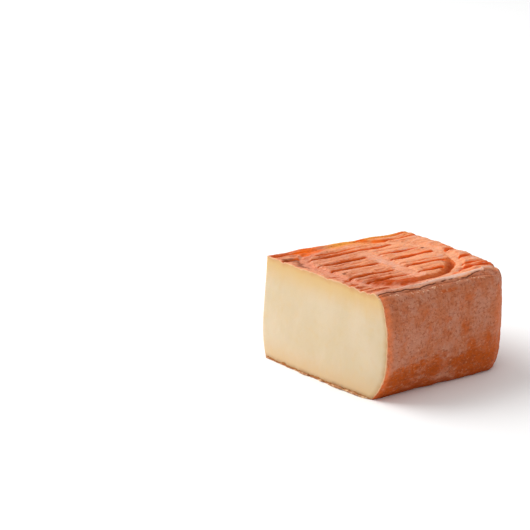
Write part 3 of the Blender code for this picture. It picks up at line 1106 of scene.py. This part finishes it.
def top_rim(paint, fewer):
    """The grey lip, partly painted highlight, brown pits, and painted shade in the crease."""
    # The lip's pale grey is partly painted highlight, paler towards the far end
    paler = paint.over("Y", LIP_PALER, 0.35, 0.95)
    lip = paint.times(broken(paint, "lip", 0.0035, 19, 2.0), paler)
    paint.coat(lip, LIP_BLOOM_AND_HIGHLIGHT)
    pits = paint.ramp(paint.noise(0.0011, 4, 20, lengthwise(1.5), 0.6), 0.55, 0.73, 0.0, 0.75)
    paint.coat(paint.times(pits, fewer), PIT_BROWN)
    solid = paint.over("Y", CREASE_SOLID, 0.0, 0.3)
    crease = paint.ramp(paint.plus(paint.noise(0.0035, 4, 14), solid), 0.36, 0.58, 0.2, 1.0)
    crease = paint.times(paint.ramp(paint.mask("crease"), 0.1, 0.6), crease)
    paint.coat(crease, CREASE_SHADE_BROWN)


def top_colour(paint):
    far = paint.over("Y", TOP_FAR)
    fewer = paint.plus(1.0, paint.times(far, -0.5))
    top_clouds(paint, far, fewer)
    top_pressed(paint, far)
    top_grain(paint, fewer)
    top_lines(paint, far)
    top_marks(paint, far)
    top_rim(paint, fewer)
    return paint.colour


def side_clouds(paint, low):
    """Brown mottled with mauve bloom, rustier towards the foot and the round corner."""
    mauve = paint.noise(0.009, 8, 5, crisp=0.66)
    paint.colour = paint.blend(paint.ramp(mauve, 0.40, 0.60), SIDE_BROWN, SIDE_MAUVE)
    far = paint.over("Y", SIDE_FAR)
    rusty = paint.plus(paint.noise(0.012, 9, 6, crisp=0.68), paint.times(far, 0.05))
    paint.coat(paint.ramp(rusty, 0.52, 0.74, 0.0, 0.6), SIDE_RUST)
    patches = paint.noise(0.012, 8, 27, level(2.0), 0.66)
    earthy = paint.plus(patches, paint.times(low, paint.plus(0.2, paint.times(far, 0.2))))
    paint.coat(paint.ramp(earthy, 0.57, 0.72, 0.0, 0.95), SIDE_EARTH)


def side_patches(paint):
    """Dark rust, with outlines broken up by noise."""
    clouds = paint.times(paint.noise(0.0058, 8, 39, crisp=0.7), 1.4)
    patch = paint.plus(paint.times(paint.mask("patch"), 0.8), clouds)
    within = paint.ramp(paint.mask("patch"), 0.02, 0.3, 0.0, 0.95)
    patch = paint.times(paint.ramp(patch, 1.0, 1.75), within)
    paint.coat(patch, paint.blend(0.4, SIDE_RUST, SIDE_EARTH))


def side_grain(paint, low):
    """Dark fibres and grains, pale bloom, and pale flecks near the foot."""
    fibres = paint.ramp(paint.noise(0.0013, 5, 7, level(4.5), 0.7), 0.48, 0.68)
    fibres = paint.times(fibres, paint.plus(0.35, paint.times(low, 0.35)))
    paint.coat(fibres, SIDE_DARK)
    grain = paint.noise(0.0016, 5, 29, crisp=0.75)
    paint.coat(paint.ramp(grain, 0.5, 0.64, 0.0, 0.65), SIDE_DARK)
    bloom = paint.noise(0.0012, 5, 28, level(1.6), 0.75)
    paint.coat(paint.ramp(bloom, 0.54, 0.72, 0.0, 0.65), SPECK)
    flecks = paint.ramp(paint.noise(0.0016, 4, 40, level(2.0), 0.6), 0.56, 0.68, 0.0, 0.42)
    paint.coat(paint.times(flecks, paint.over("Z", FLECKS_LOW)), SPECK)


def side_edges(paint):
    """Painted shade at the foot, and orange beside the knife cuts, which on the round corner is painted rim
    light.
    """
    height = frayed(paint, paint.axis("Z"), paint.noise(0.005, 5, 41), FOOT_FRAY)
    paint.coat(paint.times(paint.ramp(height, *FOOT_SHADE_RISE), 0.85), FOOT_SHADE_BROWN)
    # Orange beside the knife cuts; on the round corner the same orange is painted rim light
    patches = paint.ramp(paint.noise(0.004, 6, 30, crisp=0.7), 0.35, 0.65, 0.3, 0.85)
    strip = paint.times(paint.mask("near_cut_and_corner_light"), patches)
    strip = paint.times(strip, paint.over("Z", STRIP_FULLER, 0.4, 1.0))
    paint.coat(strip, SIDE_ORANGE)


def side_colour(paint):
    low = paint.over("Z", SIDE_LOW)
    side_clouds(paint, low)
    side_patches(paint)
    side_grain(paint, low)
    side_edges(paint)
    return paint.colour


def rind_material():
    paint = Paint("rind")
    paint.colour = paint.blend(paint.mask("side"), top_colour(paint), side_colour(paint))
    section = paint.blend(paint.mask("low"), SECTION_CREAM, SECTION_BROWN)
    paint.coat(paint.mask("section"), section)
    roughness = paint.ramp(paint.noise(0.006, 3, 10), 0.35, 0.65, 0.48, 0.68)
    paint.set(Base_Color=paint.colour, Roughness=roughness, Specular_IOR_Level=0.07)
    paint.set(Subsurface_Weight=0.06, Subsurface_Scale=0.0015, Subsurface_Radius=(1.0, 0.4, 0.2))
    fine = paint.plus(paint.noise(0.0009, 3, 12), paint.times(paint.noise(0.003, 3, 13), 0.8))
    paint.bump(fine, 0.00035, 0.8)
    return paint.material


def paste_material():
    paint = Paint("paste")
    clouds = paint.noise(0.022, 3, 21)
    paint.colour = paint.blend(paint.ramp(clouds, 0.4, 0.62), PASTE_IVORY, PASTE_CREAM)
    paint.coat(paint.times(paint.mask("below"), 0.9), PASTE_PEACH)
    paint.coat(paint.times(paint.mask("above"), 0.9), PASTE_STRAW)
    mottle = paint.ramp(paint.noise(0.0035, 4, 22), 0.45, 0.75, 0.0, 0.14)
    paint.coat(mottle, PASTE_STRAW)
    uneven_edge = paint.ramp(paint.noise(0.004, 3, 26), 0.3, 0.7, 0.6, 1.0)
    # The rim's orange line is the paste's own; aside and at the foot the colour is painted shade
    for name, colour in (("rim", PASTE_RIM), ("aside", PASTE_EDGE_SHADE), ("foot", PASTE_FOOT_SHADE)):
        paint.coat(paint.times(paint.mask(name), uneven_edge), colour)
    roughness = paint.ramp(paint.noise(0.01, 3, 23), 0.35, 0.65, 0.42, 0.55)
    paint.set(Base_Color=paint.colour, Roughness=roughness)
    paint.set(Subsurface_Weight=0.3, Subsurface_Scale=0.003, Subsurface_Radius=(1.0, 0.65, 0.3))
    fine = paint.plus(paint.noise(0.0012, 3, 24), paint.noise(0.006, 3, 25))
    paint.bump(fine, 0.0001, 0.5)
    return paint.material


def crumb_material():
    paint = Paint("crumbs")
    pale = paint.over("Z", CRUMBS_PALER)
    crust = paint.blend(paint.ramp(paint.noise(0.0022, 4, 33), 0.42, 0.62), FLAKE_BROWN, FLAKE_CREAM)
    paint.colour = paint.blend(pale, crust, RIM_CRUMB)
    mottle = paint.ramp(paint.noise(0.0008, 3, 31), 0.45, 0.7, 0.0, 0.5)
    paint.coat(mottle, FLAKE_BROWN)
    paint.set(Base_Color=paint.colour, Roughness=0.7)
    paint.bump(paint.noise(0.0004, 2, 32), 0.0001, 0.6)
    return paint.material


def floor_material():
    paint = Paint("floor")
    paint.set(Base_Color=(0.96, 0.96, 0.96, 1.0), Roughness=0.9)
    return paint.material


def dress(piece, material):
    piece.data.materials.append(material)
    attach(piece, BODY)
    return piece


FLOOR_SIZE = 12.0


def make_floor():
    bpy.ops.mesh.primitive_plane_add(size=FLOOR_SIZE, location=(0.0, 0.0, 0.0))
    floor = bpy.context.object
    floor.name = "floor"
    floor.data.materials.append(floor_material())


# The photo's camera, fitted to the straight edges of the cheese, in plan coordinates
CAMERA_PLACE = Vector((0.9422, -0.7508, 0.403))
CAMERA_HEADING = Vector((-0.7826, 0.6225, 0.0))
CAMERA_PITCH = math.radians(16.3)
CAMERA_LENS = 164.9
CAMERA_SENSOR = 36.0


def make_camera():
    data = bpy.data.cameras.new("camera")
    data.sensor_width = CAMERA_SENSOR
    data.lens = CAMERA_LENS
    camera = add_object("camera", data)
    camera.location = CAMERA_PLACE - FOOTPRINT_MIDDLE
    looking = CAMERA_HEADING * math.cos(CAMERA_PITCH) - Vector((0.0, 0.0, math.sin(CAMERA_PITCH)))
    camera.rotation_euler = looking.to_track_quat("-Z", "Y").to_euler()
    bpy.context.scene.camera = camera


# The soft square light from the left and behind, placed as the camera sees it, and the even light around
KEY_LEFT = 1.0
KEY_BEHIND = 0.45
KEY_HEIGHT = 0.92
KEY_AIM = Vector((0.0, 0.0, 0.02))
KEY_SIZE = 1.4
KEY_POWER = 22.0
AROUND_STRENGTH = 0.66


def make_key_light():
    left = Vector((-CAMERA_HEADING.y, CAMERA_HEADING.x, 0.0))
    data = bpy.data.lights.new("key", "AREA")
    data.shape = "SQUARE"
    data.size = KEY_SIZE
    data.energy = KEY_POWER
    light = add_object("key", data)
    light.location = left * KEY_LEFT + CAMERA_HEADING * KEY_BEHIND + Vector((0.0, 0.0, KEY_HEIGHT))
    light.rotation_euler = (KEY_AIM - light.location).to_track_quat("-Z", "Y").to_euler()


def make_world():
    world = bpy.data.worlds.new("studio")
    world.use_nodes = True
    background = world.node_tree.nodes["Background"]
    background.inputs["Color"].default_value = (1.0, 1.0, 1.0, 1.0)
    background.inputs["Strength"].default_value = AROUND_STRENGTH
    bpy.context.scene.world = world
    bpy.context.scene.view_settings.view_transform = "Standard"


make_camera()
make_key_light()
make_world()
make_floor()
rind = dress(rind_piece(), rind_material())
paste = dress(paste_piece(), paste_material())
dress(crumb_piece(), crumb_material())
for piece in (rind, paste):
    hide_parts(NODE)
